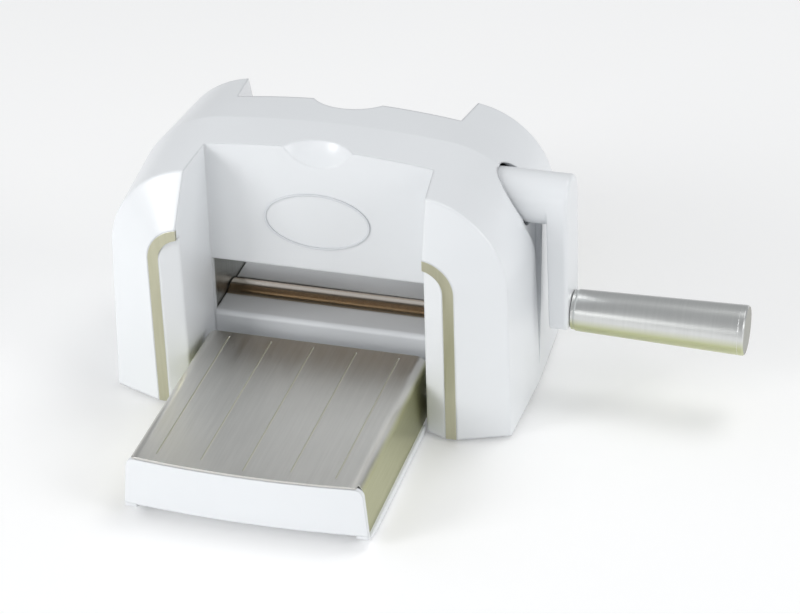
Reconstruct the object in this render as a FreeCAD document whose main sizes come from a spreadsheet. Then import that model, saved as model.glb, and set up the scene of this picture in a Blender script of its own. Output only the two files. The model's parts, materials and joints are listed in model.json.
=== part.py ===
"""Tabletop roller die cutting machine with a hand crank and two folding platforms.

Frame: +Z up, X across the machine (crank on +X), -Y is the front where a stack of plates
goes in. The origin is on the table surface, below the middle of the body.
All sizes are millimetres and come from the driving dimensions in the sheet.
"""
import FreeCAD
import Part
import Sketcher
import math
import os
import re

Vector = FreeCAD.Vector
X_AXIS = Vector(1, 0, 0)
Y_AXIS = Vector(0, 1, 0)
Z_AXIS = Vector(0, 0, 1)

doc = FreeCAD.newDocument("die_cutting_machine")
sheet = doc.addObject("Spreadsheet::Sheet", "Sheet")

DRIVING_DIMENSIONS = {
    # casing
    "casing_bottom": 1.7,
    "wall": 2.5,
    "foot_radius": 7,
    "foot_x": 60,
    "foot_y": 30,
    "front_face_y": 43.5,
    "shoulder_x": 45,
    "shoulder_z": 70,
    "shoulder_radius_front": 40,
    "shoulder_radius_mid": 43.2,
    "base_half_front": 86.8,
    "base_half_mid": 88.4,
    "crown_front": 114,
    "crown_mid": 115.6,
    # recess between the towers, and the slot in its wall
    "recess_y": 22.3,
    "recess_half_back": 49.2,
    "recess_half_front": 52.4,
    "recess_mouth_y": 55.5,
    "nose_y": 52.1,
    "nose_lean": 0.03,
    "slot_half": 48.6,
    "slot_top": 56.7,
    "floor_z": 31.2,
    "floor_thick": 2.5,
    "sill_low": 20,
    "scoop_radius": 21.4,
    "scoop_y": 34.3,
    "scoop_z": 123.8,
    # channel below the crank hub
    "channel_floor_x": 83.5,
    "channel_low_z": 10,
    "channel_mid_z": 70,
    "channel_mid_half": 6,
    "channel_full_z": 84,
    "emblem_z": 80.5,
    # trim strips
    "trim_x": 65.3,
    "trim_corner_x": 50,
    "trim_corner_z": 72,
    "trim_width": 4.6,
    "trim_thick": 1.2,
    # steel frame
    "plate_inner_x": 49,
    "plate_thick": 3,
    "plate_half_y": 19.3,
    "plate_low": 4.2,
    "plate_top": 101,
    "plate_corner_drop": 10,
    "plate_corner_width": 8,
    "tie_screw_radius": 2,
    "tie_head_radius": 3.5,
    "tie_head_height": 2.4,
    "bushing_wall": 1.95,
    "flange_wall": 3.5,
    "flange_thick": 1.4,
    "bar_radius": 4,
    "bar_y": 14.5,
    "bar_low_z": 11,
    "bar_high_z": 78,
    # rollers and gears
    "roller_radius": 9.5,
    "roller_half": 48.4,
    "journal_radius": 6,
    "journal_end": 64,
    "lower_roller_z": 24,
    "roller_teeth": 22,
    "roller_module": 1.5,
    "drive_teeth": 42,
    "pinion_teeth": 14,
    "drive_module": 1.25,
    "gear_near_x": 55.6,
    "gear_width": 6,
    # crank
    "shaft_radius": 5,
    "hub_radius": 11,
    "hub_start_x": 66,
    "hub_hole_radius": 12.4,
    "arm_near_x": 93.4,
    "arm_thick": 8.7,
    "arm_taper": 0.8,
    "arm_foot_drop": 5.9,
    "arm_foot_corner": 4.5,
    "arm_lean": 1.5,
    "crank_throw": 52,
    "spindle_radius": 4,
    "grip_start_x": 104.1,
    "grip_end_x": 176.6,
    "grip_radius_near": 8.9,
    "grip_radius_far": 10.6,
    "head_radius": 6.4,
    "head_depth": 9,
    "head_thick": 3.5,
    "pocket_radius": 7.6,
    "cap_width": 2.6,
    # folding platforms
    "hinge_y": 38,
    "hinge_z": 14.5,
    "hinge_pin_radius": 2.5,
    "platform_top": 29,
    "platform_bottom": 6.2,
    "platform_rear_y": 34.4,
    "platform_front_y": 134,
    "platform_bow": 3,
    "platform_half_top": 48.3,
    "platform_half_bottom": 49.7,
    "platform_skin": 1,
    "rail_bottom": 0.5,
    "rail_top": 4.2,
    "rail_front_y": 118,
    # fits
    "running_fit": 0.05,
    "body_gap": 0.3,
}

for row, (alias, value) in enumerate(DRIVING_DIMENSIONS.items(), start=1):
    sheet.set(f"A{row}", alias)
    sheet.set(f"B{row}", str(value))
    sheet.setAlias(f"B{row}", alias)

DERIVED_DIMENSIONS = {
    "upper_roller_z": "lower_roller_z + roller_teeth * roller_module",
    "crank_z": "upper_roller_z + (drive_teeth + pinion_teeth) * drive_module / 2",
    "grip_z": "crank_z - crank_throw",
    "plate_outer_x": "plate_inner_x + plate_thick",
    "arm_far_x": "arm_near_x + arm_thick",
}


def in_sheet(expression):
    """Put the sheet's name before every alias in an expression."""
    names = list(DRIVING_DIMENSIONS) + list(DERIVED_DIMENSIONS)
    return re.sub(r"[a-z_]+", lambda word: "Sheet." + word[0] if word[0] in names else word[0], expression)


first_derived_row = len(DRIVING_DIMENSIONS) + 1
for row, (alias, formula) in enumerate(DERIVED_DIMENSIONS.items(), start=first_derived_row):
    sheet.set(f"A{row}", alias)
    sheet.set(f"B{row}", "=" + formula)
    sheet.setAlias(f"B{row}", alias)
doc.recompute()


def size(expression):
    """The value in millimetres of an expression of the sheet's aliases."""
    names = {alias: float(sheet.get(alias)) for alias in list(DRIVING_DIMENSIONS) + list(DERIVED_DIMENSIONS)}
    tokens = re.findall(r"[a-z_]+|[0-9.]+|[-+*/()]", expression)
    return evaluate(tokens, names)


def evaluate(tokens, names):
    """Work out a short arithmetic expression from its tokens."""
    def factor():
        token = tokens.pop(0)
        if token == "-":
            return -factor()
        if token == "(":
            value = total()
            tokens.pop(0)
            return value
        return names[token] if token in names else float(token)

    def product():
        value = factor()
        while tokens and tokens[0] in "*/":
            if tokens.pop(0) == "*":
                value *= factor()
            else:
                value /= factor()
        return value

    def total():
        value = product()
        while tokens and tokens[0] in "+-":
            if tokens.pop(0) == "+":
                value += product()
            else:
                value -= product()
        return value

    return total()


# ---------------------------------------------------------------- document helpers

nodes = []


def node(label, obj):
    """Give a finished sub-part its label and list it for export."""
    obj.Label = label
    nodes.append(obj)
    return obj


def bind(obj, **expressions):
    """Bind properties to expressions of the sheet's aliases."""
    for name, expression in expressions.items():
        obj.setExpression(name, in_sheet(expression))


def place(obj, x="0", y="0", z="0", rotation=None):
    """Put an object at a bound position, turned by a fixed rotation."""
    obj.Placement = FreeCAD.Placement(Vector(), rotation or FreeCAD.Rotation())
    obj.setExpression("Placement.Base.x", in_sheet(x))
    obj.setExpression("Placement.Base.y", in_sheet(y))
    obj.setExpression("Placement.Base.z", in_sheet(z))
    return obj


ALONG = {
    "X": FreeCAD.Rotation(Y_AXIS, 90),
    "Y": FreeCAD.Rotation(X_AXIS, -90),
    "Z": FreeCAD.Rotation(),
}


def rod(name, radius, length, x="0", y="0", z="0", along="X"):
    """A cylinder from its start point along an axis."""
    cylinder = doc.addObject("Part::Cylinder", name)
    bind(cylinder, Radius=radius, Height=length)
    return place(cylinder, x, y, z, ALONG[along])


def block(name, x, y, z):
    """A box between bound limits, each given as a (low, high) pair."""
    box = doc.addObject("Part::Box", name)
    bind(box, Length=f"({x[1]}) - ({x[0]})", Width=f"({y[1]}) - ({y[0]})", Height=f"({z[1]}) - ({z[0]})")
    return place(box, x[0], y[0], z[0])


def cut(name, base, tool):
    """Base less tool."""
    result = doc.addObject("Part::Cut", name)
    result.Base = base
    result.Tool = tool
    return result


def fuse(name, pieces):
    """One solid from several."""
    result = doc.addObject("Part::MultiFuse", name)
    result.Shapes = pieces
    result.Refine = True
    return result


def group(name, pieces):
    """Separate identical pieces kept together in one node."""
    result = doc.addObject("Part::Compound", name)
    result.Links = pieces
    return result


def mirrored(name, source, normal):
    """The mirror image of an object in a plane through the origin."""
    result = doc.addObject("Part::Mirroring", name)
    result.Source = source
    result.Base = Vector()
    result.Normal = normal
    return result


def ring(name, outer, inner, length, x="0", y="0", z="0", along="X"):
    """A plain tube."""
    solid = rod(name + "_outer", outer, length, x, y, z, along)
    hole = rod(name + "_bore", inner, length, x, y, z, along)
    return cut(name, solid, hole)


def plane_of(body, role):
    """One of a body's own origin planes."""
    return next(feature for feature in body.Origin.OriginFeatures if feature.Role == role)


def outline_sketch(body, name, role, corners):
    """A closed outline in a body's origin plane, each corner bound to a pair of expressions."""
    sketch = body.newObject("Sketcher::SketchObject", name)
    sketch.AttachmentSupport = (plane_of(body, role), "")
    sketch.MapMode = "FlatFace"
    places = [(size(across), size(up)) for across, up in corners]
    for index, start in enumerate(places):
        end = places[(index + 1) % len(places)]
        sketch.addGeometry(Part.LineSegment(Vector(*start, 0), Vector(*end, 0)), False)
    for index in range(len(places)):
        sketch.addConstraint(Sketcher.Constraint("Coincident", index, 2, (index + 1) % len(places), 1))
    for index, corner in enumerate(corners):
        for kind, value, expression in zip(("DistanceX", "DistanceY"), places[index], corner):
            added = sketch.addConstraint(Sketcher.Constraint(kind, -1, 1, index, 1, value))
            sketch.setExpression(f"Constraints[{added}]", in_sheet(expression))
    return sketch


def circle_sketch(body, name, role, circles):
    """Circles in a body's origin plane, each an (across, up, radius) of expressions."""
    sketch = body.newObject("Sketcher::SketchObject", name)
    sketch.AttachmentSupport = (plane_of(body, role), "")
    sketch.MapMode = "FlatFace"
    for across, up, radius in circles:
        centre = Vector(size(across), size(up), 0)
        index = sketch.addGeometry(Part.Circle(centre, Z_AXIS, size(radius)), False)
        wanted = (
            (Sketcher.Constraint("DistanceX", -1, 1, index, 3, centre.x), across),
            (Sketcher.Constraint("DistanceY", -1, 1, index, 3, centre.y), up),
            (Sketcher.Constraint("Radius", index, size(radius)), radius),
        )
        for constraint, expression in wanted:
            added = sketch.addConstraint(constraint)
            sketch.setExpression(f"Constraints[{added}]", in_sheet(expression))
    return sketch


def turned(label, corners, y="0", z="0"):
    """A lathe part about an axis along X, from (x, radius) corners."""
    body = doc.addObject("PartDesign::Body", label)
    sketch = outline_sketch(body, label + "_profile", "XY_Plane", corners)
    feature = body.newObject("PartDesign::Revolution", label + "_turned")
    feature.Profile = sketch
    feature.ReferenceAxis = (sketch, ["H_Axis"])
    feature.Angle = 360
    return place(body, "0", y, z)


def padded(body, sketch, length, reverse=False):
    """Extrude a sketch of a body by a bound length."""
    pad = body.newObject("PartDesign::Pad", sketch.Name + "_pad")
    pad.Profile = sketch
    pad.Reversed = reverse
    bind(pad, Length=length)
    return pad


def drilled(body, sketch, length, reverse=False):
    """Cut a sketch through a body by a bound length."""
    pocket = body.newObject("PartDesign::Pocket", sketch.Name + "_pocket")
    pocket.Profile = sketch
    pocket.Reversed = reverse
    bind(pocket, Length=length)
    return pocket


# ---------------------------------------------------------------- casings

def arch_wire(y, radius, base_half, crown, inset, bottom):
    """Closed section of the body at one y: straight sides, round shoulders, shallow crown."""
    shoulder_x = size("shoulder_x")
    shoulder_z = size("shoulder_z")
    radius -= inset
    base_half -= inset
    crown -= inset
    drop = shoulder_z - crown
    crown_radius = (radius ** 2 - shoulder_x ** 2 - drop ** 2) / (2 * (drop + radius))
    towards = Vector(shoulder_x, 0, crown_radius + drop).normalize()
    join = Vector(0, y, crown - crown_radius) + towards * crown_radius
    turn = math.atan2(join.z - shoulder_z, join.x - shoulder_x) / 2
    middle = Vector(shoulder_x + radius * math.cos(turn), y, shoulder_z + radius * math.sin(turn))
    hip = Vector(shoulder_x + radius, y, shoulder_z)
    foot = Vector(base_half, y, bottom)

    def left(point):
        return Vector(-point.x, point.y, point.z)

    return Part.Wire([
        Part.makeLine(foot, hip),
        Part.Arc(hip, middle, join).toShape(),
        Part.Arc(join, Vector(0, y, crown), left(join)).toShape(),
        Part.Arc(left(join), left(middle), left(hip)).toShape(),
        Part.makeLine(left(hip), left(foot)),
        Part.makeLine(left(foot), foot),
    ])


def body_block(inset):
    """Front half of the arched body, ruled from its front face back to the middle."""
    bottom = size("casing_bottom") - inset
    front = arch_wire(inset - size("front_face_y"), size("shoulder_radius_front"),
                      size("base_half_front"), size("crown_front"), inset, bottom)
    middle = arch_wire(0, size("shoulder_radius_mid"),
                       size("base_half_mid"), size("crown_mid"), inset, bottom)
    return Part.makeLoft([front, middle], True, True)


def nose_plane_y(z, inset=0):
    """The leaning plane that holds the crest of the tower noses."""
    return inset - size("nose_y") - size("nose_lean") * z


def tower_nose(inset):
    """Right tower's wedge, ruled from the trim's outer path back to the front arch."""
    bottom = size("casing_bottom") - inset
    inner_x = size("shoulder_x")
    corner_x = size("trim_corner_x")
    corner_z = size("trim_corner_z")
    crest_radius = size("trim_x - trim_corner_x") - inset
    shoulder = size("shoulder_radius_front") - inset
    back_y = inset - size("front_face_y")

    def crest(x, z):
        return Vector(x, nose_plane_y(z, inset), z)

    def crest_at(degrees):
        angle = math.radians(degrees)
        return crest(corner_x + crest_radius * math.cos(angle), corner_z + crest_radius * math.sin(angle))

    def back_at(degrees):
        angle = math.radians(degrees)
        return Vector(size("shoulder_x") + shoulder * math.cos(angle), back_y,
                      size("shoulder_z") + shoulder * math.sin(angle))

    top_x = inner_x + 0.001
    top_angle = math.degrees(math.acos((top_x - corner_x) / crest_radius))
    crest_wire = Part.Wire([
        Part.makeLine(crest(inner_x, bottom), crest(corner_x + crest_radius, bottom)),
        Part.makeLine(crest(corner_x + crest_radius, bottom), crest_at(0)),
        Part.Arc(crest_at(0), crest_at(top_angle / 2), crest_at(top_angle)).toShape(),
        Part.makeLine(crest_at(top_angle), crest(inner_x, bottom)),
    ])
    back_corner = Vector(size("base_half_front") - inset, back_y, bottom)
    back_wire = Part.Wire([
        Part.makeLine(Vector(inner_x, back_y, bottom), back_corner),
        Part.makeLine(back_corner, back_at(0)),
        Part.Arc(back_at(0), back_at(45), back_at(90)).toShape(),
        Part.makeLine(back_at(90), Vector(inner_x, back_y, bottom)),
    ])
    return Part.makeLoft([crest_wire, back_wire], True, True)


def trim_path_face(inset_across):
    """Region inside the trim's path, upright, at a distance inside its outer edge."""
    corner_x = size("trim_corner_x")
    corner_z = size("trim_corner_z")
    radius = size("trim_x - trim_corner_x") - inset_across
    inner_x = size("shoulder_x")
    top_angle = math.acos((inner_x - corner_x) / radius)

    def at(angle):
        return Vector(corner_x + radius * math.cos(angle), 0, corner_z + radius * math.sin(angle))

    foot = Vector(corner_x + radius, 0, 0)
    return Part.Face(Part.Wire([
        Part.makeLine(Vector(inner_x, 0, 0), foot),
        Part.makeLine(foot, at(0)),
        Part.Arc(at(0), at(top_angle / 2), at(top_angle)).toShape(),
        Part.makeLine(at(top_angle), Vector(inner_x, 0, 0)),
    ]))


def lean(shape):
    """Tilt an upright shape into the plane of the tower noses."""
    tilted = shape.copy()
    tilted.rotate(Vector(), X_AXIS, math.degrees(math.atan(size("nose_lean"))))
    tilted.translate(Vector(0, -size("nose_y"), 0))
    return tilted


NOSE_INNER_FALL = 0.42


def inner_relief():
    """Wedge taken off the tower between the trim and the recess, so that the face falls inwards."""
    region = trim_path_face(size("trim_width"))
    prism = region.extrude(Vector(0, 30, 0))
    prism.translate(Vector(0, -15, 0))
    far_x = size("trim_x - trim_width")
    near_x = size("shoulder_x")
    wedge = Part.Face(Part.makePolygon([
        Vector(far_x, 0, -5), Vector(near_x, NOSE_INNER_FALL * (far_x - near_x), -5),
        Vector(near_x, -20, -5), Vector(far_x, -20, -5), Vector(far_x, 0, -5),
    ])).extrude(Vector(0, 0, 120))
    return lean(prism.common(wedge))


def trim_strip_shape():
    """The inlaid strip that runs up the tower's crest and curves over to the recess."""
    band = trim_path_face(0).cut(trim_path_face(size("trim_width")))
    strip = band.extrude(Vector(0, size("trim_thick"), 0))
    return lean(strip).common(Part.makeBox(200, 200, 200, Vector(0, -150, size("casing_bottom"))))


def recess_prism(grow):
    """Tapered space between the towers, from the recess wall forwards."""
    back_y = grow - size("recess_y")
    front_y = -80
    taper = size("(recess_half_front - recess_half_back) / (recess_mouth_y - recess_y)")
    back_half = size("recess_half_back") + grow
    front_half = size("recess_half_back") + grow + taper * (-front_y - size("recess_y"))
    plan = Part.makePolygon([
        Vector(-back_half, back_y, -10), Vector(back_half, back_y, -10), Vector(front_half, front_y, -10),
        Vector(-front_half, front_y, -10), Vector(-back_half, back_y, -10),
    ])
    return Part.Face(plan).extrude(Vector(0, 0, 160))


def scoop_ball(grow):
    """Ball that leaves the thumb scoop in the edge of the deck."""
    return Part.makeSphere(size("scoop_radius") + grow, Vector(0, -size("scoop_y"), size("scoop_z")))


def side_channel(grow):
    """Tapered channel below the crank hub, and the hub's hole above it."""
    half = size("hub_hole_radius") + grow
    crank_z = size("crank_z")
    low_z = size("channel_low_z")
    mid_z = size("channel_mid_z")
    full_z = size("channel_full_z")
    mid_half = size("channel_mid_half") + grow
    side = [Vector(0, mid_half, mid_z), Vector(0, half, full_z), Vector(0, half, crank_z)]
    other = [Vector(0, -point.y, point.z) for point in reversed(side)]
    tip = Vector(0, 0, low_z - 2 * grow)
    shield = Part.Face(Part.makePolygon([tip] + side + other + [tip])).extrude(Vector(150, 0, 0))
    floor_x = size("channel_floor_x") - grow
    skin_x = size("base_half_mid") - grow
    corners = [(floor_x, crank_z), (floor_x + 0.5, full_z), (skin_x, low_z - 2 - grow),
               (floor_x + 30, low_z - 2 - grow), (floor_x + 30, crank_z), (floor_x, crank_z)]
    depth = Part.Face(Part.makePolygon([Vector(x, -30, z) for x, z in corners])).extrude(Vector(0, 60, 0))
    return shield.common(depth)


def hub_hole():
    """Round hole in the shoulder for the crank hub."""
    return Part.makeCylinder(size("hub_hole_radius"), 60, Vector(60, 0, size("crank_z")), X_AXIS)


HINGE_BOSS_WALL = 2.5
HINGE_BOSS_LENGTH = 9
HINGE_BORE_DEPTH = 8


def hinge_boss(sign, radius, length):
    """Cylinder about the front platform's hinge axis, outwards from the recess side wall."""
    start = Vector(sign * size("recess_half_back"), -size("hinge_y"), size("hinge_z"))
    return Part.makeCylinder(radius, length, start, X_AXIS * sign)


SCREW_POST_X = 72
SCREW_POST_Y = 33
SCREW_POST_RADIUS = 4
SCREW_POST_TOP = 60
SCREW_RADIUS = 1.5
SCREW_HEAD_RADIUS = 3
SCREW_HEAD_HEIGHT = 1
SCREW_LENGTH = 17
SCREW_HOLE_TOP = 24
RIB_REACH = 30
RIB_THICK = 2
PAN_THICK = 2.5


def screw_post(sign, radius, low, high):
    """Upright post in a tower, into which a casing screw goes."""
    return Part.makeCylinder(radius, high - low, Vector(sign * SCREW_POST_X, -SCREW_POST_Y, low), Z_AXIS)


def post_rib(sign, low, high):
    """Rib that ties a screw post to the side of the casing."""
    rib = Part.makeBox(RIB_REACH, RIB_THICK, high - low,
                       Vector(SCREW_POST_X, -SCREW_POST_Y - RIB_THICK / 2, low))
    return rib if sign > 0 else rib.mirror(Vector(), X_AXIS)


def both_sides(shape):
    """A right-hand shape and its mirror image on the left."""
    return [shape, shape.mirror(Vector(), X_AXIS)]


def casing_cavity(inset):
    """Space inside the front casing, open at the bottom and at the middle plane."""
    cavity = body_block(inset)
    for nose in both_sides(tower_nose(inset)):
        cavity = cavity.fuse(nose)
    cavity = cavity.cut(recess_prism(inset))
    for relief in both_sides(inner_relief()):
        relief.translate(Vector(0, inset, 0))
        cavity = cavity.cut(relief)
    return cavity


CASING_EDGE_ROUND = 1.0


def casing_soft_edges(shell):
    """Edges of the front arch, upright edges of the recess mouth and top edge of the slot."""
    def lies_at(edge, y):
        return abs(edge.BoundBox.YMin + y) < 0.1 and abs(edge.BoundBox.YMax + y) < 0.1

    arch = [edge for edge in shell.Edges
            if lies_at(edge, size("front_face_y")) and edge.BoundBox.ZLength > 20]
    mouth = [edge for edge in shell.Edges
             if edge.BoundBox.ZLength > 60 and edge.BoundBox.XLength < 1
             and edge.BoundBox.YMax < -size("front_face_y")
             and abs(edge.BoundBox.Center.x) < size("recess_half_front + 1")]
    slot = [edge for edge in shell.Edges
            if lies_at(edge, size("recess_y")) and edge.BoundBox.ZLength < 0.1
            and abs(edge.BoundBox.ZMin - size("slot_top")) < 0.1]
    return arch + mouth + slot


def front_casing_shape():
    """Thin moulded shell of the front half of the body."""
    wall = size("wall")
    outer = body_block(0)
    for nose in both_sides(tower_nose(0)):
        outer = outer.fuse(nose)
    outer = outer.cut(recess_prism(0)).cut(scoop_ball(0)).cut(side_channel(0))
    for tool in both_sides(inner_relief()) + both_sides(trim_strip_shape()):
        outer = outer.cut(tool)
    cavity = casing_cavity(wall).cut(scoop_ball(wall)).cut(side_channel(wall))
    shell = outer.cut(cavity)
    post_low = size("casing_bottom") + PAN_THICK + 0.5
    for sign in (-1, 1):
        boss = hinge_boss(sign, size("hinge_pin_radius") + HINGE_BOSS_WALL, HINGE_BOSS_LENGTH)
        shell = shell.fuse(boss.cut(recess_prism(0)))
        shell = shell.cut(hinge_boss(sign, size("hinge_pin_radius + running_fit"), HINGE_BORE_DEPTH))
        rib = post_rib(sign, post_low, SCREW_POST_TOP).common(outer)
        shell = shell.fuse(screw_post(sign, SCREW_POST_RADIUS, post_low, SCREW_POST_TOP).fuse(rib))
        shell = shell.cut(screw_post(sign, SCREW_RADIUS, post_low, SCREW_HOLE_TOP))
    slot = Part.makeBox(size("2 * slot_half"), wall + 4, size("slot_top - sill_low"),
                        Vector(-size("slot_half"), -size("recess_y") - 2, size("sill_low")))
    shell = shell.cut(slot).cut(hub_hole()).removeSplitter()
    return shell.makeFillet(CASING_EDGE_ROUND, casing_soft_edges(shell))


def feature(label, shape):
    """A sub-part whose shape is worked out from the sheet in this script."""
    result = doc.addObject("Part::Feature", label)
    result.Shape = shape
    return result


front_casing = node("front_casing", feature("front_casing", front_casing_shape()))
node("rear_casing", mirrored("rear_casing", front_casing, Y_AXIS))

trim_shape = trim_strip_shape().cut(recess_prism(0))
right_front_trim = node("right_front_trim", feature("right_front_trim", trim_shape))
left_front_trim = node("left_front_trim", mirrored("left_front_trim", right_front_trim, X_AXIS))
node("right_rear_trim", mirrored("right_rear_trim", right_front_trim, Y_AXIS))
node("left_rear_trim", mirrored("left_rear_trim", left_front_trim, Y_AXIS))


def base_pan_shape():
    """Flat floor pan that closes the bottom of both casings."""
    front = casing_cavity(size("wall + body_gap"))
    plan = front.fuse(front.mirror(Vector(), Y_AXIS))
    slab = Part.makeBox(400, 400, PAN_THICK, Vector(-200, -200, size("casing_bottom")))
    pan = plan.common(slab)
    for sign_x, sign_y in CORNERS:
        where = Vector(sign_x * SCREW_POST_X, sign_y * SCREW_POST_Y, 0)
        pan = pan.cut(Part.makeCylinder(SCREW_RADIUS + 0.25, 10, where, Z_AXIS))
    return pan.removeSplitter()


CORNERS = ((1, 1), (-1, 1), (1, -1), (-1, -1))
MIDDLE = (0, 0)
node("base_pan", feature("base_pan", base_pan_shape()))


def copies(name, maker, places):
    """One node of copies, each made by maker(name, sign_x, sign_y)."""
    return node(name, group(name, [maker(f"{name}_{index}", *signs) for index, signs in enumerate(places)]))


def rubber_foot(name, sign_x, sign_y):
    """Foot under a corner of the body, or under its middle where both signs are 0."""
    return rod(name, "foot_radius", "casing_bottom", f"{sign_x} * foot_x", f"{sign_y} * foot_y", "0", "Z")


def casing_screw(name, sign_x, sign_y):
    where = (f"{sign_x * SCREW_POST_X}", f"{sign_y * SCREW_POST_Y}")
    head = rod(name + "_head", f"{SCREW_HEAD_RADIUS}", f"{SCREW_HEAD_HEIGHT}", *where,
               f"casing_bottom - {SCREW_HEAD_HEIGHT}", "Z")
    shank = rod(name + "_shank", f"{SCREW_RADIUS}", f"{SCREW_LENGTH}", *where, "casing_bottom", "Z")
    return fuse(name, [head, shank])


copies("rubber_feet", rubber_foot, CORNERS + (MIDDLE,))
copies("casing_screws", casing_screw, CORNERS)

# ---------------------------------------------------------------- throat floor

SILL_GAP = 0.7
SILL_ROUND = 2.2


def sill_shape():
    """Half of the throat floor with its skirt, hollowed to pass under the lower roller."""
    half = size("slot_half")
    thick = size("floor_thick")
    depth = size("recess_y")
    low = size("sill_low")
    top = size("floor_z")
    plate = Part.makeBox(2 * half, depth, thick, Vector(-half, -depth, top - thick))
    skirt = Part.makeBox(2 * half, size("wall"), top - low, Vector(-half, -depth, low))
    sill = plate.fuse(skirt).removeSplitter()
    front_edge = [edge for edge in sill.Edges
                  if edge.BoundBox.YMax < -depth + 0.1 and edge.BoundBox.ZMin > top - 0.1]
    sill = sill.makeFillet(SILL_ROUND, front_edge)
    return sill.cut(Part.makeCylinder(size("roller_radius") + SILL_GAP, 2 * half,
                                      Vector(-half, 0, size("lower_roller_z")), X_AXIS))


front_sill = node("front_sill", feature("front_sill", sill_shape()))
node("rear_sill", mirrored("rear_sill", front_sill, Y_AXIS))


EMBLEM_HALF_WIDTH = 23
EMBLEM_HALF_HEIGHT = 13
EMBLEM_BAND = 0.9
EMBLEM_HEIGHT = 0.5
EMBLEM_X = -1.5


def emblem_shape():
    """Plain raised oval ring on the recess wall, with no lettering."""
    def oval(inset):
        curve = Part.Ellipse(Vector(), EMBLEM_HALF_WIDTH - inset, EMBLEM_HALF_HEIGHT - inset).toShape()
        return Part.Face(Part.Wire(curve))

    raised = oval(0).cut(oval(EMBLEM_BAND)).extrude(Vector(0, 0, EMBLEM_HEIGHT))
    raised.rotate(Vector(), X_AXIS, 90)
    raised.translate(Vector(EMBLEM_X, -size("recess_y"), size("emblem_z")))
    return raised


node("front_emblem", feature("front_emblem", emblem_shape()))

# ---------------------------------------------------------------- steel frame

def frame_plate(label, start_x):
    """Side plate with bearing holes for both rollers and the crank shaft, and tie bar holes."""
    body = doc.addObject("PartDesign::Body", label)
    corners = [("-plate_half_y", "plate_low"), ("plate_half_y", "plate_low"),
               ("plate_half_y", "plate_top - plate_corner_drop"),
               ("plate_half_y - plate_corner_width", "plate_top"),
               ("plate_corner_width - plate_half_y", "plate_top"),
               ("-plate_half_y", "plate_top - plate_corner_drop")]
    padded(body, outline_sketch(body, label + "_outline", "YZ_Plane", corners), "plate_thick")
    seat = "bushing_wall + running_fit"
    holes = [("0", height, f"journal_radius + {seat}") for height in ("lower_roller_z", "upper_roller_z")]
    holes.append(("0", "crank_z", f"shaft_radius + {seat}"))
    holes += [(side + "bar_y", height, "tie_screw_radius + 0.1")
              for side in ("", "-") for height in ("bar_low_z", "bar_high_z")]
    drilled(body, circle_sketch(body, label + "_holes", "YZ_Plane", holes), "plate_thick", True)
    return place(body, start_x)


node("right_frame_plate", frame_plate("right_frame_plate", "plate_inner_x"))
node("left_frame_plate", frame_plate("left_frame_plate", "-plate_outer_x"))


def spacer_bar(name, sign_y, height):
    return rod(name, "bar_radius", "2 * plate_inner_x", "-plate_inner_x", f"{sign_y} * bar_y", height)


bar_places = [(sign_y, height) for sign_y in (1, -1) for height in ("bar_low_z", "bar_high_z")]
spacer_bars = [spacer_bar(f"spacer_bar_{index}", *where) for index, where in enumerate(bar_places)]
node("spacer_bars", group("spacer_bars", spacer_bars))


def frame_screw(name, side, sign_y, height):
    """Cap screw that holds a side plate to the end of a spacer bar."""
    start = "plate_outer_x" if side > 0 else "-plate_outer_x - tie_head_height"
    head = rod(name + "_head", "tie_head_radius", "tie_head_height", start, f"{sign_y} * bar_y", height)
    shank_start = "plate_inner_x" if side > 0 else "-plate_outer_x"
    shank = rod(name + "_shank", "tie_screw_radius", "plate_thick", shank_start, f"{sign_y} * bar_y", height)
    return fuse(name, [head, shank])


SIDES = (("right", 1), ("left", -1))
frame_screws = [frame_screw(f"frame_screw_{side}_{index}", sign, *where)
                for side, sign in SIDES for index, where in enumerate(bar_places)]
node("frame_screws", group("frame_screws", frame_screws))


def bushing(name, side, bore, height):
    """Flanged plain bearing pressed into a side plate from outside."""
    inner = f"{side} * plate_inner_x"
    outer = f"{side} * plate_outer_x"
    rim = f"{side} * (plate_outer_x + flange_thick)"
    sleeve = f"{bore} + bushing_wall"
    flange = f"{bore} + flange_wall"
    corners = [(inner, bore), (inner, sleeve), (outer, sleeve), (outer, flange), (rim, flange), (rim, bore)]
    return turned(name, corners, "0", height)


roller_bushings = [bushing(f"{side}_{height}_bushing", sign, "journal_radius + running_fit", height)
                   for side, sign in SIDES for height in ("lower_roller_z", "upper_roller_z")]
node("roller_bushings", group("roller_bushings", roller_bushings))
crank_bushings = [bushing(f"{side}_crank_bushing", sign, "shaft_radius + running_fit", "crank_z")
                  for side, sign in SIDES]
node("crank_bushings", group("crank_bushings", crank_bushings))

# ---------------------------------------------------------------- rollers and gears

def roller(label, height, right_end):
    """Ground steel roller with a journal at each end, the right one up to a given X."""
    corners = [("-journal_end", "0"), ("-journal_end", "journal_radius"), ("-roller_half", "journal_radius"),
               ("-roller_half", "roller_radius"), ("roller_half", "roller_radius"),
               ("roller_half", "journal_radius"), (right_end, "journal_radius"), (right_end, "0")]
    return node(label, turned(label, corners, "0", height))


roller("lower_roller", "lower_roller_z", "gear_near_x - 0.4")
roller("upper_roller", "upper_roller_z", "journal_end")

PRESSURE_ANGLE = math.radians(20)
ADDENDUM = 0.8
DEDENDUM = 1.1
FLANK_THINNING = 0.1


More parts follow.
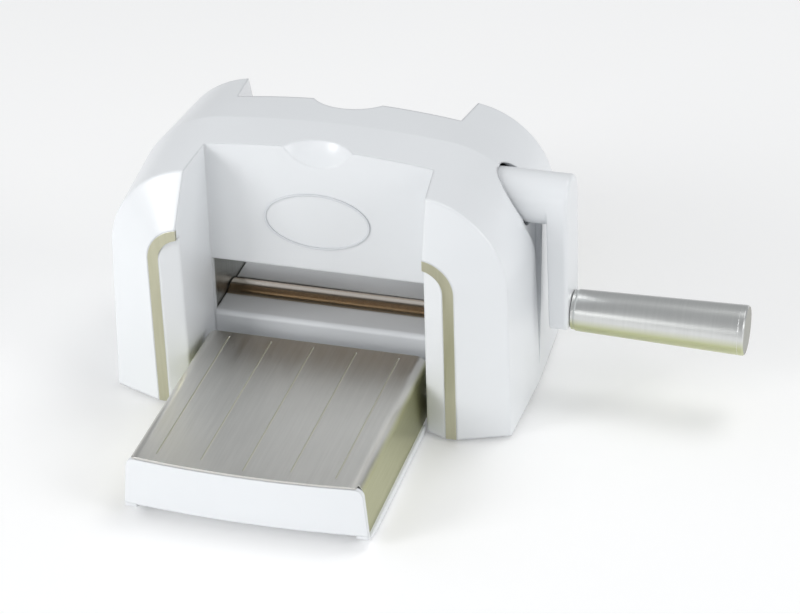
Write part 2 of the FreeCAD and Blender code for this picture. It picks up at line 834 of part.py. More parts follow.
def gear_shape(teeth, module, bore, width, turn_degrees):
    """Stub-tooth involute spur gear about +X, with one tooth centred turn_degrees above +Y."""
    pitch_radius = teeth * module / 2
    base_radius = pitch_radius * math.cos(PRESSURE_ANGLE)
    tip_radius = pitch_radius + ADDENDUM * module
    root_radius = pitch_radius - DEDENDUM * module
    half_tooth = math.pi / (2 * teeth) - FLANK_THINNING / pitch_radius

    def involute(radius):
        angle = math.acos(min(1, base_radius / radius))
        return math.tan(angle) - angle

    low = max(base_radius, root_radius)
    flank = [low + (tip_radius - low) * step / 4 for step in range(5)]
    reach = [(radius, half_tooth + involute(pitch_radius) - involute(radius)) for radius in flank]
    tooth = [(root_radius, reach[0][1])] + reach
    points = []
    for index in range(teeth):
        middle = 2 * math.pi * index / teeth + math.radians(turn_degrees)
        outline = [(radius, middle - half) for radius, half in tooth]
        outline += [(radius, middle + half) for radius, half in reversed(tooth)]
        points += [Vector(0, radius * math.cos(angle), radius * math.sin(angle))
                   for radius, angle in outline]
    blank = Part.Face(Part.makePolygon(points + points[:1])).extrude(Vector(width, 0, 0))
    return blank.cut(Part.makeCylinder(bore, width, Vector(), X_AXIS))


def gear(label, teeth, module, bore, start, height, turn_degrees):
    """A gear placed on a shaft."""
    shape = gear_shape(int(size(teeth)), size(module), size(bore), size("gear_width"), turn_degrees)
    return node(label, place(feature(label, shape), start, "0", height))


UP = 90
roller_half_step = 180 / size("roller_teeth")
pinion_half_step = 180 / size("pinion_teeth")
left_gear_x = "-gear_near_x - gear_width"
gear("lower_roller_gear", "roller_teeth", "roller_module", "journal_radius", left_gear_x, "lower_roller_z",
     UP + roller_half_step)
gear("upper_roller_gear", "roller_teeth", "roller_module", "journal_radius", left_gear_x, "upper_roller_z",
     UP)
gear("drive_gear", "drive_teeth", "drive_module", "journal_radius", "gear_near_x", "upper_roller_z", UP)
gear("crank_pinion", "pinion_teeth", "drive_module", "shaft_radius", "gear_near_x", "crank_z",
     -UP + pinion_half_step)


def clip(name, start, height):
    """Retaining ring near the end of a roller journal."""
    return ring(name, f"journal_radius + {CLIP_WALL}", "journal_radius", CLIP_WIDTH, start, "0", height)


CLIP_WIDTH = "1"
CLIP_WALL = "2.5"
outside_gear = "gear_near_x + gear_width + 0.4"
left_clip_x = f"-({outside_gear} + {CLIP_WIDTH})"
for label, height, right_clip_x in (
    ("lower_roller_clips", "lower_roller_z", "plate_outer_x + flange_thick + body_gap"),
    ("upper_roller_clips", "upper_roller_z", outside_gear),
):
    pair = [clip(label + "_left", left_clip_x, height), clip(label + "_right", right_clip_x, height)]
    node(label, group(label, pair))

# ---------------------------------------------------------------- crank

shaft_end = "-plate_outer_x - 6"
shaft_corners = [(shaft_end, "0"), (shaft_end, "shaft_radius"),
                 ("arm_near_x", "shaft_radius"), ("arm_near_x", "0")]
node("crank_shaft", turned("crank_shaft", shaft_corners, "0", "crank_z"))
node("crank_shaft_clip", ring("crank_shaft_clip", f"shaft_radius + {CLIP_WALL}", "shaft_radius", CLIP_WIDTH,
                              f"{shaft_end} + 2.6", "0", "crank_z"))

ARM_EDGE_ROUND = 1.6
SHAFT_SOCKET = 3


def crank_arm_shape():
    """Hub and arm in one moulding, the hub as wide as the arm, which leans outwards towards the grip."""
    near = size("arm_near_x")
    far = size("arm_far_x")
    near_drift = size("arm_lean")
    far_drift = near_drift - size("arm_taper")
    half = size("hub_radius")
    top = size("crank_z")
    low = size("grip_z")
    foot = low - size("arm_foot_drop")
    corner = size("arm_foot_corner")
    nip = corner * (1 - math.sqrt(0.5))
    outline = Part.Wire([
        Part.Arc(Vector(0, half, top), Vector(0, 0, top + half), Vector(0, -half, top)).toShape(),
        Part.makeLine(Vector(0, -half, top), Vector(0, -half, foot + corner)),
        Part.Arc(Vector(0, -half, foot + corner), Vector(0, nip - half, foot + nip),
                 Vector(0, corner - half, foot)).toShape(),
        Part.makeLine(Vector(0, corner - half, foot), Vector(0, half - corner, foot)),
        Part.Arc(Vector(0, half - corner, foot), Vector(0, half - nip, foot + nip),
                 Vector(0, half, foot + corner)).toShape(),
        Part.makeLine(Vector(0, half, foot + corner), Vector(0, half, top)),
    ])
    bar = Part.Face(outline).extrude(Vector(200, 0, 0))
    spill = 20 / (top - low)
    side = Part.Face(Part.makePolygon([
        Vector(near - spill * near_drift, -50, top + 20), Vector(far - spill * far_drift, -50, top + 20),
        Vector(far + (1 + spill) * far_drift, -50, low - 20),
        Vector(near + (1 + spill) * near_drift, -50, low - 20),
        Vector(near - spill * near_drift, -50, top + 20),
    ])).extrude(Vector(0, 100, 0))
    hub_start = Vector(size("hub_start_x"), 0, top)
    hub = Part.makeCylinder(half, near + SHAFT_SOCKET - hub_start.x, hub_start, X_AXIS)
    arm = bar.common(side).fuse(hub).removeSplitter()
    outer_rim = [edge for edge in arm.Edges if edge.BoundBox.XMin > far - 1]
    arm = arm.makeFillet(ARM_EDGE_ROUND, outer_rim)
    solid = arm.cut(Part.makeCylinder(size("shaft_radius"), near - hub_start.x, hub_start, X_AXIS))
    socket = Part.makeCylinder(size("spindle_radius"), 20, Vector(near + SHAFT_SOCKET, 0, low), X_AXIS)
    return solid.cut(socket).removeSplitter()


node("crank_arm", feature("crank_arm", crank_arm_shape()))

# ---------------------------------------------------------------- grip

spindle_start = f"arm_near_x + {SHAFT_SOCKET}"
head_start = "grip_end_x - head_depth"
head_end = "grip_end_x - head_depth + head_thick"
spindle_corners = [(spindle_start, "0"), (spindle_start, "spindle_radius"), (head_start, "spindle_radius"),
                   (head_start, "head_radius"), (head_end, "head_radius"), (head_end, "0")]
node("grip_spindle", turned("grip_spindle", spindle_corners, "0", "grip_z"))

bore = "spindle_radius + running_fit"
sleeve_start = "grip_start_x + body_gap"
sleeve_end = "grip_end_x - cap_width"
pocket_floor = "grip_end_x - head_depth - 0.4"
node("grip_base_ring", ring("grip_base_ring", "grip_radius_near - 0.5", bore, "1.3", "grip_start_x - 1",
                            "0", "grip_z"))
sleeve_corners = [(sleeve_start, bore), (sleeve_start, "grip_radius_near - 0.4"),
                  (f"{sleeve_start} + 0.8", "grip_radius_near"), (sleeve_end, "grip_radius_far"),
                  (sleeve_end, "pocket_radius"), (pocket_floor, "pocket_radius"), (pocket_floor, bore)]
node("grip_sleeve", turned("grip_sleeve", sleeve_corners, "0", "grip_z"))
plug_end = f"{head_end} + 0.7"
cap_corners = [(plug_end, "0"), (plug_end, "pocket_radius"), (sleeve_end, "pocket_radius"),
               (sleeve_end, "grip_radius_far"), ("grip_end_x - 0.6", "grip_radius_far"),
               ("grip_end_x", "grip_radius_far - 0.6"), ("grip_end_x", "0")]
node("grip_end_cap", turned("grip_end_cap", cap_corners, "0", "grip_z"))

# ---------------------------------------------------------------- folding platforms

def bowed_front(half, rear_y, front_y, z):
    """Plan outline at one height: straight rear and sides, front edge bowed outwards."""
    bow = size("platform_bow")
    return Part.Wire([
        Part.makeLine(Vector(-half, rear_y, z), Vector(half, rear_y, z)),
        Part.makeLine(Vector(half, rear_y, z), Vector(half, front_y, z)),
        Part.Arc(Vector(half, front_y, z), Vector(0, front_y - bow, z), Vector(-half, front_y, z)).toShape(),
        Part.makeLine(Vector(-half, front_y, z), Vector(-half, rear_y, z)),
    ])


def platform_solid(low, high, rear_y, front_y, inset, flare=0):
    """Solid with tapered sides between two heights, flared at its bottom beyond the cover's taper."""
    height = size("platform_top - platform_bottom")
    slope = (size("platform_half_bottom - platform_half_top") + flare) / height

    def half_at(z):
        return size("platform_half_top") + slope * (size("platform_top") - z) - inset

    return Part.makeLoft([bowed_front(half_at(low), rear_y, front_y, low),
                          bowed_front(half_at(high), rear_y, front_y, high)], True, True)


LIP_THICK = 2.6
TRAY_THICK = 2.0
SIDE_WALL = 1.8
EAR_RADIUS = 4.6
EAR_NEAR_X = 38.3
EAR_LENGTH = 9.2
PAD_WIDTH = 2.6
PAD_HEIGHT = 1.5
PAD_FRONT_Y = -112
PAD_REAR_Y = -100
RAIL_THICK = 5
LIP_PROUD = 0.6
LIP_FLARE = 0.6
LIP_DROP = 1.3
LIP_CORNER_ROUND = 4
COVER_OUTER_ROUND = 5
COVER_INNER_ROUND = 4
WALL_DROP = 5.2
GUIDE_LINE_WIDTH = 0.7
GUIDE_LINE_DEPTH = 0.35
GUIDE_LINE_PITCH = 18.6
GUIDE_LINE_FRONT_Y = -130
GUIDE_LINE_LENGTH = 92
MIDDLE_LINE_EXTRA = 3.5


def top_side_edges(solid, top):
    """The two straight edges along the sides of a solid's top face."""
    return [edge for edge in solid.Edges
            if edge.BoundBox.ZMin > top - 0.1 and edge.BoundBox.XLength < 0.1]


def rail_shape(side):
    """Low rail under one side of the tray, proud of the cover, rising to the lip at its front."""
    low = size("rail_bottom")
    high = size("rail_top")
    rear = -size("hinge_y") - 10
    turn = -size("rail_front_y")
    front = -size("platform_front_y") + 0.5
    behind_lip = LIP_THICK - size("platform_front_y + body_gap")
    knee = ((turn + front) / 2 - 2, low + 1.4)
    corners = [(rear, low), (turn, low), knee, (front, high), (front, high + 3),
               (behind_lip, high + 3), (behind_lip, high), (rear, high), (rear, low)]
    inner_x = size("platform_half_bottom") + LIP_PROUD + LIP_FLARE - RAIL_THICK
    outline = Part.makePolygon([Vector(inner_x, y, z) for y, z in corners])
    profile = Part.Face(outline).extrude(Vector(RAIL_THICK, 0, 0))
    return profile if side > 0 else profile.mirror(Vector(), X_AXIS)


def pad_box(side):
    """Space taken by the rubber pad let into the underside of a rail."""
    length = PAD_REAR_Y - PAD_FRONT_Y
    centre = side * (size("platform_half_bottom") + LIP_PROUD + LIP_FLARE - RAIL_THICK / 2)
    return Part.makeBox(PAD_WIDTH, length, PAD_HEIGHT, Vector(centre - PAD_WIDTH / 2, PAD_FRONT_Y, 0))


def hinge_bore(clearance):
    """Bore along the front hinge axis, right across the platform."""
    return Part.makeCylinder(size("hinge_pin_radius") + clearance, 200,
                             Vector(-100, -size("hinge_y"), size("hinge_z")), X_AXIS)


def platform_tray_shape():
    """White tray: floor, front lip, side rails that stand on the table, and hinge ears."""
    bottom = size("platform_bottom")
    high = size("rail_top")
    lip_top = size("platform_top") - LIP_DROP
    wall_top = size("platform_top") - WALL_DROP
    skin = size("platform_skin")
    front = -size("platform_front_y")
    rear = -size("hinge_y") - 3.5
    inside = front + LIP_THICK
    tray = platform_solid(bottom, wall_top, rear, inside + 0.1, skin + size("body_gap"))
    hollow = platform_solid(bottom + TRAY_THICK, wall_top + 5, rear - 5, inside - 1, skin + SIDE_WALL)
    tray = tray.cut(hollow)
    tray = tray.cut(Part.makeBox(200, 200, 50, Vector(-100, front, wall_top - 6)).cut(
        Part.makeBox(200, 12, 50, Vector(-100, front, 0))))
    lip = platform_solid(bottom, lip_top, inside, front, -LIP_PROUD, LIP_FLARE)
    lip = lip.makeFillet(LIP_CORNER_ROUND, top_side_edges(lip, lip_top))
    lip = lip.cut(platform_solid(bottom - 1, lip_top + 1, inside + 20, inside, -5))
    tray = tray.fuse(lip)
    for side in (-1, 1):
        foot = Part.makeBox(4, 80, bottom - high + TRAY_THICK,
                            Vector(size("platform_half_bottom") - 5.4, rear - 80 - 0.5, high))
        tray = tray.fuse(foot if side > 0 else foot.mirror(Vector(), X_AXIS)).fuse(rail_shape(side))
        ear_low = EAR_NEAR_X if side > 0 else -EAR_NEAR_X - EAR_LENGTH
        ear_start = Vector(ear_low, -size("hinge_y"), size("hinge_z"))
        ear = Part.makeCylinder(EAR_RADIUS, EAR_LENGTH, ear_start, X_AXIS)
        web = Part.makeBox(EAR_LENGTH, 12, 8, Vector(ear_low, -size("hinge_y") - 12, bottom))
        tray = tray.fuse(ear).fuse(web)
        tray = tray.cut(pad_box(side))
    return tray.cut(hinge_bore(0)).removeSplitter()


def cover_plate_shape():
    """Metal cover over the lip: flat top with five engraved lines, both sides bent down to the rails."""
    skin = size("platform_skin")
    top = size("platform_top")
    low = size("rail_top")
    rear = -size("platform_rear_y")
    front = -size("platform_front_y")
    behind_lip = front + LIP_THICK + size("body_gap")
    plate = platform_solid(low, top, rear, front, 0)
    plate = plate.makeFillet(COVER_OUTER_ROUND, top_side_edges(plate, top))
    inner = platform_solid(low - 1, top - skin, rear + 1, behind_lip - 1, skin)
    plate = plate.cut(inner.makeFillet(COVER_INNER_ROUND, top_side_edges(inner, top - skin)))
    over_lip = top - LIP_DROP + size("body_gap")
    plate = plate.cut(platform_solid(low - 1, over_lip, behind_lip, front - 5, -5))
    for index in range(-2, 3):
        longer = MIDDLE_LINE_EXTRA if index == 0 else 0
        start = Vector(index * GUIDE_LINE_PITCH - GUIDE_LINE_WIDTH / 2,
                       GUIDE_LINE_FRONT_Y - longer, top - GUIDE_LINE_DEPTH)
        plate = plate.cut(Part.makeBox(GUIDE_LINE_WIDTH, GUIDE_LINE_LENGTH + longer, 1, start))
    return plate.cut(hinge_bore(size("body_gap"))).removeSplitter()


PIN_INNER_REACH = 9
PIN_OUTER_REACH = 7.4


def hinge_pin(name, side):
    """Pin fixed in a tray ear that turns in the casing's boss."""
    inner_end = f"recess_half_back - {PIN_INNER_REACH}"
    outer_end = f"recess_half_back + {PIN_OUTER_REACH}"
    start = inner_end if side > 0 else f"-({outer_end})"
    length = f"{PIN_INNER_REACH + PIN_OUTER_REACH}"
    return rod(name, "hinge_pin_radius", length, start, "-hinge_y", "hinge_z")


front_tray = node("front_platform_tray", feature("front_platform_tray", platform_tray_shape()))
front_cover = node("front_platform_cover", feature("front_platform_cover", cover_plate_shape()))
pins = [hinge_pin(f"front_pin_{side}", sign) for side, sign in SIDES]
front_pins = node("front_hinge_pins", group("front_hinge_pins", pins))
pads = Part.makeCompound(both_sides(pad_box(1)))
front_pads = node("front_platform_pads", feature("front_platform_pads", pads))
for source, label in ((front_tray, "rear_platform_tray"), (front_cover, "rear_platform_cover"),
                      (front_pins, "rear_hinge_pins"), (front_pads, "rear_platform_pads")):
    node(label, mirrored(label, source, Y_AXIS))

# ---------------------------------------------------------------- check and export

doc.recompute()
failed = [obj.Label for obj in doc.Objects if "Invalid" in obj.State or "Error" in obj.State]
failed += [obj.Label for obj in nodes if obj.Shape.isNull() or not obj.Shape.isValid()]
if failed:
    raise RuntimeError("failed objects: " + ", ".join(failed))

os.makedirs("parts", exist_ok=True)
for obj in nodes:
    obj.Shape.exportStep(f"parts/{obj.Label}.step")
    limits = obj.Shape.optimalBoundingBox()
    print(f"{obj.Label}: {len(obj.Shape.Solids)} solids, {obj.Shape.Volume:.0f} mm3, "
          f"x {limits.XMin:.1f}..{limits.XMax:.1f}, y {limits.YMin:.1f}..{limits.YMax:.1f}, "
          f"z {limits.ZMin:.1f}..{limits.ZMax:.1f}")
print(len(nodes), "nodes")
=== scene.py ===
"""Looks of the tabletop roller die cutting machine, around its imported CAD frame."""

import json
import math

import bpy
from mathutils import Matrix, Vector


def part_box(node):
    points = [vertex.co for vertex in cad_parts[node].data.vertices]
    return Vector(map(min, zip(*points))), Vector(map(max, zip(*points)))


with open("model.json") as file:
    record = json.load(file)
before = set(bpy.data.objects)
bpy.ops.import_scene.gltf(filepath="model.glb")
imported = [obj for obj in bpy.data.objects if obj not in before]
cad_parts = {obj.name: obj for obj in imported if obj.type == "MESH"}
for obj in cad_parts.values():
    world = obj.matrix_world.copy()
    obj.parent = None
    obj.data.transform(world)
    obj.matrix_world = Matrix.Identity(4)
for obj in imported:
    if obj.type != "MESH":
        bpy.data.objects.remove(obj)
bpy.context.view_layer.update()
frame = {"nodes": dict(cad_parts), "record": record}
scene = bpy.context.scene
nodes = frame["nodes"]
slot_of_node = {row["node"]: row["material_slot"] for row in frame["record"]["subparts"]}

MM = 0.001


# ---------------------------------------------------------------- camera

CAMERA_PLACE = (0.3392, -1.0695, 0.6946)
CAMERA_ANGLES = (16.27, 30.80, -1.385)
SENSOR_WIDTH = 36
LENS = 136.5
CLIP_END = 50


def look_matrix(azimuth, elevation, roll):
    """Camera axes for a direction given in degrees: azimuth 0 looks along +Y, elevation looks down."""
    turn = Matrix.Rotation(math.radians(azimuth), 4, "Z")
    tilt = Matrix.Rotation(math.radians(90 - elevation), 4, "X")
    return turn @ tilt @ Matrix.Rotation(math.radians(roll), 4, "Z")


camera_data = bpy.data.cameras.new("camera")
camera_data.sensor_width = SENSOR_WIDTH
camera_data.lens = LENS
camera_data.clip_end = CLIP_END
camera = bpy.data.objects.new("camera", camera_data)
camera.matrix_world = Matrix.Translation(CAMERA_PLACE) @ look_matrix(*CAMERA_ANGLES)
scene.collection.objects.link(camera)
scene.camera = camera


# ---------------------------------------------------------------- material nodes

# sizes of patches, in metres
PLASTIC_PATCH = 0.06
BRUSH_LINE = 0.0012
BRUSH_CLOUD = 0.03
RUBBER_GRAIN = 0.0006
RUBBER_PATCH = 0.01
PAPER_PATCH = 0.8

BEVEL_SAMPLES = 8
EDGE_START, EDGE_END = 0.03, 0.25
METAL_EDGE = 0.3 * MM
RUBBER_DEPTH = 0.04 * MM

class Finish:
    """One material and short calls to wire its nodes."""

    def __init__(self, name, **sockets):
        self.material = bpy.data.materials.new(name)
        self.material.use_nodes = True
        self.tree = self.material.node_tree
        self.shader = self.tree.nodes["Principled BSDF"]
        for socket, value in sockets.items():
            self.shader.inputs[socket.replace("_", " ")].default_value = value
        self.place = self.node("ShaderNodeTexCoord").outputs["Object"]

    def node(self, kind, inputs=None, **settings):
        """A node with its settings; each input is a value, or the output it is linked to."""
        added = self.tree.nodes.new(kind)
        for name, value in settings.items():
            setattr(added, name, value)
        for name, value in (inputs or {}).items():
            self.feed(added.inputs[name], value)
        return added

    def feed(self, socket, value):
        if isinstance(value, bpy.types.NodeSocket):
            self.tree.links.new(value, socket)
        else:
            socket.default_value = value

    def set(self, socket, value):
        self.feed(self.shader.inputs[socket], value)

    def stretched(self, scale):
        """Object coordinates stretched along each axis."""
        return self.node("ShaderNodeMapping", {"Vector": self.place, "Scale": scale}).outputs["Vector"]

    def noise(self, size, detail=3, place=None, roughness=0.5):
        """Noise with patches about so large, in metres."""
        inputs = {"Vector": place or self.place, "Scale": 1 / size, "Detail": detail, "Roughness": roughness}
        return self.node("ShaderNodeTexNoise", inputs).outputs["Fac"]

    def ramp(self, factor, low, high, start=0.0, end=1.0):
        """Two colours or values, one for each end of a factor's range."""
        ramp = self.node("ShaderNodeMapRange", {"Value": factor, "From Min": start, "From Max": end})
        if isinstance(low, tuple):
            mix = self.node("ShaderNodeMix", data_type="RGBA")
            self.feed(mix.inputs[0], ramp.outputs[0])
            self.feed(mix.inputs[6], (*low, 1))
            self.feed(mix.inputs[7], (*high, 1))
            return mix.outputs[2]
        self.feed(ramp.inputs["To Min"], low)
        self.feed(ramp.inputs["To Max"], high)
        return ramp.outputs[0]

    def blend(self, factor, low, high):
        """Mix of two colour outputs, or a colour output and a colour."""
        mix = self.node("ShaderNodeMix", data_type="RGBA")
        self.feed(mix.inputs[0], factor)
        for index, colour in ((6, low), (7, high)):
            self.feed(mix.inputs[index], (*colour, 1) if isinstance(colour, tuple) else colour)
        return mix.outputs[2]

    def bump(self, height, depth, strength=1.0, normal=None):
        """Normal for a height in metres."""
        inputs = {"Height": height, "Distance": depth, "Strength": strength}
        if normal is not None:
            inputs["Normal"] = normal
        return self.node("ShaderNodeBump", inputs).outputs["Normal"]

    def soft_edge(self, radius):
        """Normal that rounds every edge by a radius."""
        return self.node("ShaderNodeBevel", {"Radius": radius}, samples=BEVEL_SAMPLES).outputs["Normal"]

    def edge_mask(self, radius):
        """1 along edges and 0 elsewhere."""
        geometry = self.node("ShaderNodeNewGeometry").outputs["Normal"]
        product = self.node("ShaderNodeVectorMath", operation="DOT_PRODUCT")
        self.feed(product.inputs[0], self.soft_edge(radius))
        self.feed(product.inputs[1], geometry)
        limits = {"From Min": 1 - EDGE_START, "From Max": 1 - EDGE_END}
        return self.node("ShaderNodeMapRange", {"Value": product.outputs["Value"], **limits}).outputs[0]


def plastic(name, low, high, roughness, radius, seam=None):
    """Gloss moulded plastic with soft mould edges; edges closer than seam to the middle plane stay crisp."""
    finish = Finish(name, Coat_Weight=0.2, Coat_Roughness=0.15)
    finish.set("Base Color", finish.ramp(finish.noise(PLASTIC_PATCH), low, high, 0.35, 0.65))
    patches = finish.noise(PLASTIC_PATCH, 1)
    finish.set("Roughness", finish.ramp(patches, roughness - 0.02, roughness + 0.02, 0.2, 0.8))
    normal = finish.soft_edge(radius)
    if seam:
        across = finish.node("ShaderNodeSeparateXYZ", {"Vector": finish.place}).outputs["Y"]
        distance = finish.node("ShaderNodeMath", {0: across}, operation="ABSOLUTE").outputs[0]
        plain = finish.node("ShaderNodeNewGeometry").outputs["Normal"]
        mix = finish.node("ShaderNodeMix", data_type="VECTOR")
        finish.feed(mix.inputs[0], finish.ramp(distance, 0.0, 1.0, seam, 1.5 * seam))
        finish.feed(mix.inputs[4], plain)
        finish.feed(mix.inputs[5], normal)
        normal = mix.outputs[1]
    finish.set("Normal", normal)
    return finish.material


def facing_painted_light(finish, colour, axis, start, end, painted_light_colour):
    """Colour that turns to another colour where the surface faces along a world axis, from one slope to
    another: painted reflection and shade by facing direction.
    """
    normal = finish.node("ShaderNodeNewGeometry").outputs["Normal"]
    facing = finish.node("ShaderNodeSeparateXYZ", {"Vector": normal}).outputs[axis]
    if axis != "Z":
        facing = finish.node("ShaderNodeMath", {0: facing}, operation="ABSOLUTE").outputs[0]
    return finish.blend(finish.ramp(facing, 0.0, 1.0, start, end), colour, painted_light_colour)


def engraved_line_mask(finish, pitch, top):
    """1 in engraved lines along Y at an even pitch across, just below a top surface, and 0 elsewhere."""
    place = finish.node("ShaderNodeSeparateXYZ", {"Vector": finish.place})
    wave = finish.node("ShaderNodeMath", {0: place.outputs["X"], 1: pitch / 2}, operation="PINGPONG")
    across = wave.outputs[0]
    near = finish.ramp(across, 1.0, 0.0, 0.3 * MM, 0.4 * MM)
    sunk = finish.ramp(place.outputs["Z"], 1.0, 0.0, top - 0.25 * MM, top - 0.05 * MM)
    normal = finish.node("ShaderNodeNewGeometry").outputs["Normal"]
    facing = finish.node("ShaderNodeSeparateXYZ", {"Vector": normal}).outputs["Z"]
    groove = finish.node("ShaderNodeMath", {0: near, 1: sunk}, operation="MULTIPLY").outputs[0]
    level = finish.ramp(facing, 0.0, 1.0, 0.9, 0.95)
    return finish.node("ShaderNodeMath", {0: groove, 1: level}, operation="MULTIPLY").outputs[0]


def brushed(name, low, high, roughness, grain, edge=None, edge_radius=0.4 * MM, depth=0.006 * MM,
            metallic=1.0, spread=0.05, painted_light_by_facing=(), paint=None):
    """Metal with fine lines along one axis, and paler edges: painted edge highlight, with edge wear.

    grain is the (x, y, z) stretch of the lines, spread is how much their roughness varies, the facing
    colours are (axis, start, end, colour) of painted reflection and shade, and paint is the (colour, pitch,
    top) of engraved lines.
    """
    finish = Finish(name, Metallic=metallic)
    lines = finish.noise(BRUSH_LINE, 3, finish.stretched(grain), 0.6)
    clouds = finish.noise(BRUSH_CLOUD, 2)
    colour = finish.ramp(lines, low, high, 0.3, 0.7)
    shade = tuple(0.93 * part for part in low)
    colour = finish.blend(finish.ramp(clouds, 0.0, 0.3, 0.4, 0.7), colour, shade)
    # painted reflection and shade: a colour blended in by which way the surface faces
    for axis, start, end, painted_light_colour in painted_light_by_facing:
        colour = facing_painted_light(finish, colour, axis, start, end, painted_light_colour)
    # paler edges: painted edge highlight, with edge wear
    if edge:
        colour = finish.blend(finish.edge_mask(edge_radius), colour, edge)
    if paint:
        fill, pitch, top = paint
        mask = engraved_line_mask(finish, pitch, top)
        colour = finish.blend(mask, colour, fill)
        finish.set("Metallic", finish.ramp(mask, metallic, 0.2))
    finish.set("Base Color", colour)
    finish.set("Roughness", finish.ramp(lines, roughness - spread, roughness + spread, 0.3, 0.7))
    normal = finish.soft_edge(METAL_EDGE)
    finish.set("Normal", finish.bump(lines, depth, 0.8, normal) if depth else normal)
    return finish.material


def rubber(name):
    """Matt black rubber with a fine grain."""
    finish = Finish(name)
    grain = finish.noise(RUBBER_GRAIN, 3)
    dark, pale = (0.018, 0.018, 0.019), (0.035, 0.035, 0.036)
    finish.set("Base Color", finish.ramp(finish.noise(RUBBER_PATCH), dark, pale, 0.3, 0.7))
    finish.set("Roughness", finish.ramp(grain, 0.7, 0.9, 0.3, 0.7))
    finish.set("Normal", finish.bump(grain, RUBBER_DEPTH, 0.6))
    return finish.material


ALONG_X = (0.04, 1, 1)
ALONG_Y = (1, 0.04, 1)
ALONG_Z = (1, 1, 0.04)
AROUND_X = (1, 0.05, 0.05)

PLATFORM_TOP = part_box("front_platform_cover")[1][2]
GUIDE_LINE_PITCH = 18.6 * MM

WHITE = ((0.78, 0.80, 0.82), (0.80, 0.82, 0.84), 0.32)
SEAM_HALF_WIDTH = 1.0 * MM

# The pale edge colours given to brushed() are painted edge highlight with edge wear; the facing colours are
# painted reflection and shade.
materials = {
    "white_plastic": plastic("white_plastic", *WHITE, 1.0 * MM),
    "trim_metal": brushed("trim_metal", (0.50, 0.49, 0.36), (0.55, 0.54, 0.41), 0.36, ALONG_Z,
                          (0.80, 0.80, 0.72), 0.5 * MM),
    "rubber": rubber("rubber"),
    "fastener_steel": brushed("fastener_steel", (0.42, 0.42, 0.43), (0.55, 0.55, 0.56), 0.34, (1, 1, 1)),
    "sheet_steel": brushed("sheet_steel", (0.36, 0.37, 0.35), (0.50, 0.51, 0.49), 0.36, ALONG_Z),
    "emblem_grey": brushed("emblem_grey", (0.68, 0.70, 0.73), (0.72, 0.74, 0.77), 0.35, ALONG_X,
                           metallic=0.1),
    "bearing_bronze": brushed("bearing_bronze", (0.45, 0.30, 0.14), (0.58, 0.41, 0.20), 0.36, AROUND_X),
    # brown band where the roller faces forward and back: painted reflection of the dark surroundings
    "roller_steel": brushed("roller_steel", (0.92, 0.84, 0.76), (0.95, 0.88, 0.81), 0.24, ALONG_X,
                            depth=0, spread=0.03, painted_light_by_facing=(("Y", 0.08, 0.3, (0.52, 0.42, 0.31)),)),
    "gear_steel": brushed("gear_steel", (0.36, 0.36, 0.37), (0.48, 0.48, 0.49), 0.40, (0.2, 1, 1),
                          (0.62, 0.62, 0.63)),
    "shaft_steel": brushed("shaft_steel", (0.52, 0.52, 0.53), (0.64, 0.64, 0.65), 0.28, AROUND_X),
    # yellow-green underside: painted reflection of the floor; darker where facing along X: painted shade
    "grip_silver": brushed("grip_silver", (0.66, 0.67, 0.66), (0.70, 0.71, 0.70), 0.30, AROUND_X,
                           (0.78, 0.78, 0.77), 0.4 * MM, depth=0, spread=0.01,
                           painted_light_by_facing=(("Z", 0.1, -0.3, (0.54, 0.56, 0.34)),
                                  ("X", 0.8, 0.98, (0.30, 0.30, 0.25)))),
    # olive where the cover faces along X: painted shade on its sides; the guide lines are its own marking
    "cover_metal": brushed("cover_metal", (0.60, 0.59, 0.56), (0.66, 0.65, 0.62), 0.34, ALONG_Y,
                           (0.72, 0.72, 0.68), 0.3 * MM, depth=0.003 * MM,
                           painted_light_by_facing=(("X", 0.7, 0.95, (0.46, 0.46, 0.28)),),
                           paint=((0.66, 0.65, 0.58), GUIDE_LINE_PITCH, PLATFORM_TOP)),
}
casing_plastic = plastic("casing_plastic", *WHITE, 1.6 * MM, SEAM_HALF_WIDTH)
CASINGS = ("front_casing", "rear_casing")

for node, ob in nodes.items():
    material = casing_plastic if node in CASINGS else materials[slot_of_node[node]]
    for slot in ob.material_slots:
        slot.material = material


# ---------------------------------------------------------------- stage

FLOOR_HALF = 6

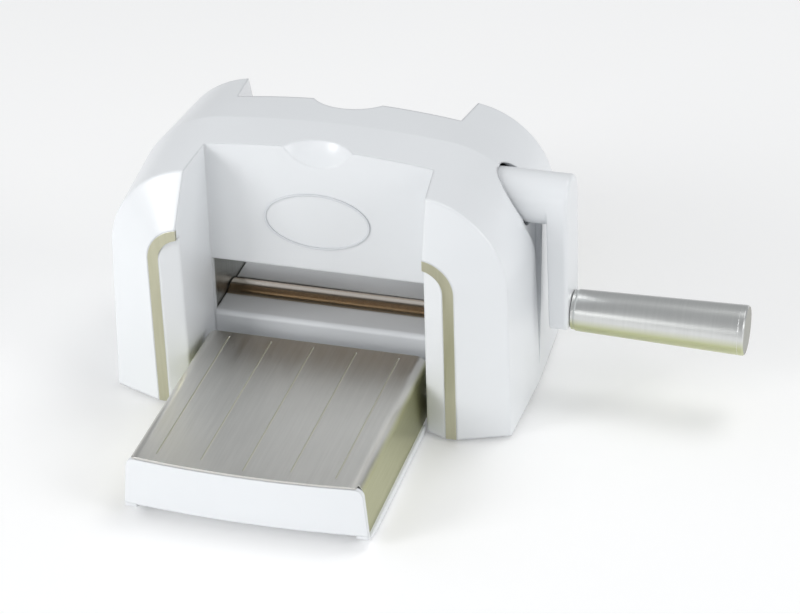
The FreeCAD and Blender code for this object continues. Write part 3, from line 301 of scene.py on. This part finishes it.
floor_mesh = bpy.data.meshes.new("floor")
corners = [(-FLOOR_HALF, -FLOOR_HALF, 0), (FLOOR_HALF, -FLOOR_HALF, 0),
           (FLOOR_HALF, FLOOR_HALF, 0), (-FLOOR_HALF, FLOOR_HALF, 0)]
floor_mesh.from_pydata(corners, [], [(0, 1, 2, 3)])
floor = bpy.data.objects.new("floor", floor_mesh)
scene.collection.objects.link(floor)
paper = Finish("paper", Roughness=0.6, Emission_Color=(1, 1, 1, 1), Emission_Strength=0.1)
paper.set("Base Color", paper.ramp(paper.noise(PAPER_PATCH), (0.93, 0.93, 0.93), (0.95, 0.95, 0.95)))
floor_mesh.materials.append(paper.material)

LIGHT_DISTANCE = 1.6
LIGHT_TARGET = Vector((0, 0, 0.05))

# name, azimuth, elevation, size, power
LIGHTS = (
    ("key", -45, 22, 0.6, 9.5),
    ("front", -20, 14, 0.5, 2.2),
    ("right", 75, 25, 0.8, 6.8),
    ("back", 130, 65, 0.7, 5.5),
    ("left", -85, 30, 0.8, 1.5),
)
WORLD_COLOUR = (0.97, 0.985, 1, 1)
WORLD_STRENGTH = 0.46


def soft_light(name, azimuth, elevation, size, power):
    """A soft square light aimed at the object: azimuth is from the front, positive to the right."""
    data = bpy.data.lights.new(name, "AREA")
    data.shape = "SQUARE"
    data.size = size
    data.energy = power
    turn = math.radians(azimuth)
    rise = math.radians(elevation)
    towards = Vector((math.cos(rise) * math.sin(turn), -math.cos(rise) * math.cos(turn), math.sin(rise)))
    light = bpy.data.objects.new(name, data)
    light.matrix_world = (Matrix.Translation(LIGHT_TARGET + LIGHT_DISTANCE * towards)
                          @ towards.to_track_quat("Z", "Y").to_matrix().to_4x4())
    scene.collection.objects.link(light)


for light in LIGHTS:
    soft_light(*light)
world = bpy.data.worlds.new("studio")
scene.world = world
world.use_nodes = True
background = world.node_tree.nodes["Background"]
background.inputs["Color"].default_value = WORLD_COLOUR
background.inputs["Strength"].default_value = WORLD_STRENGTH
scene.view_settings.view_transform = "Standard"
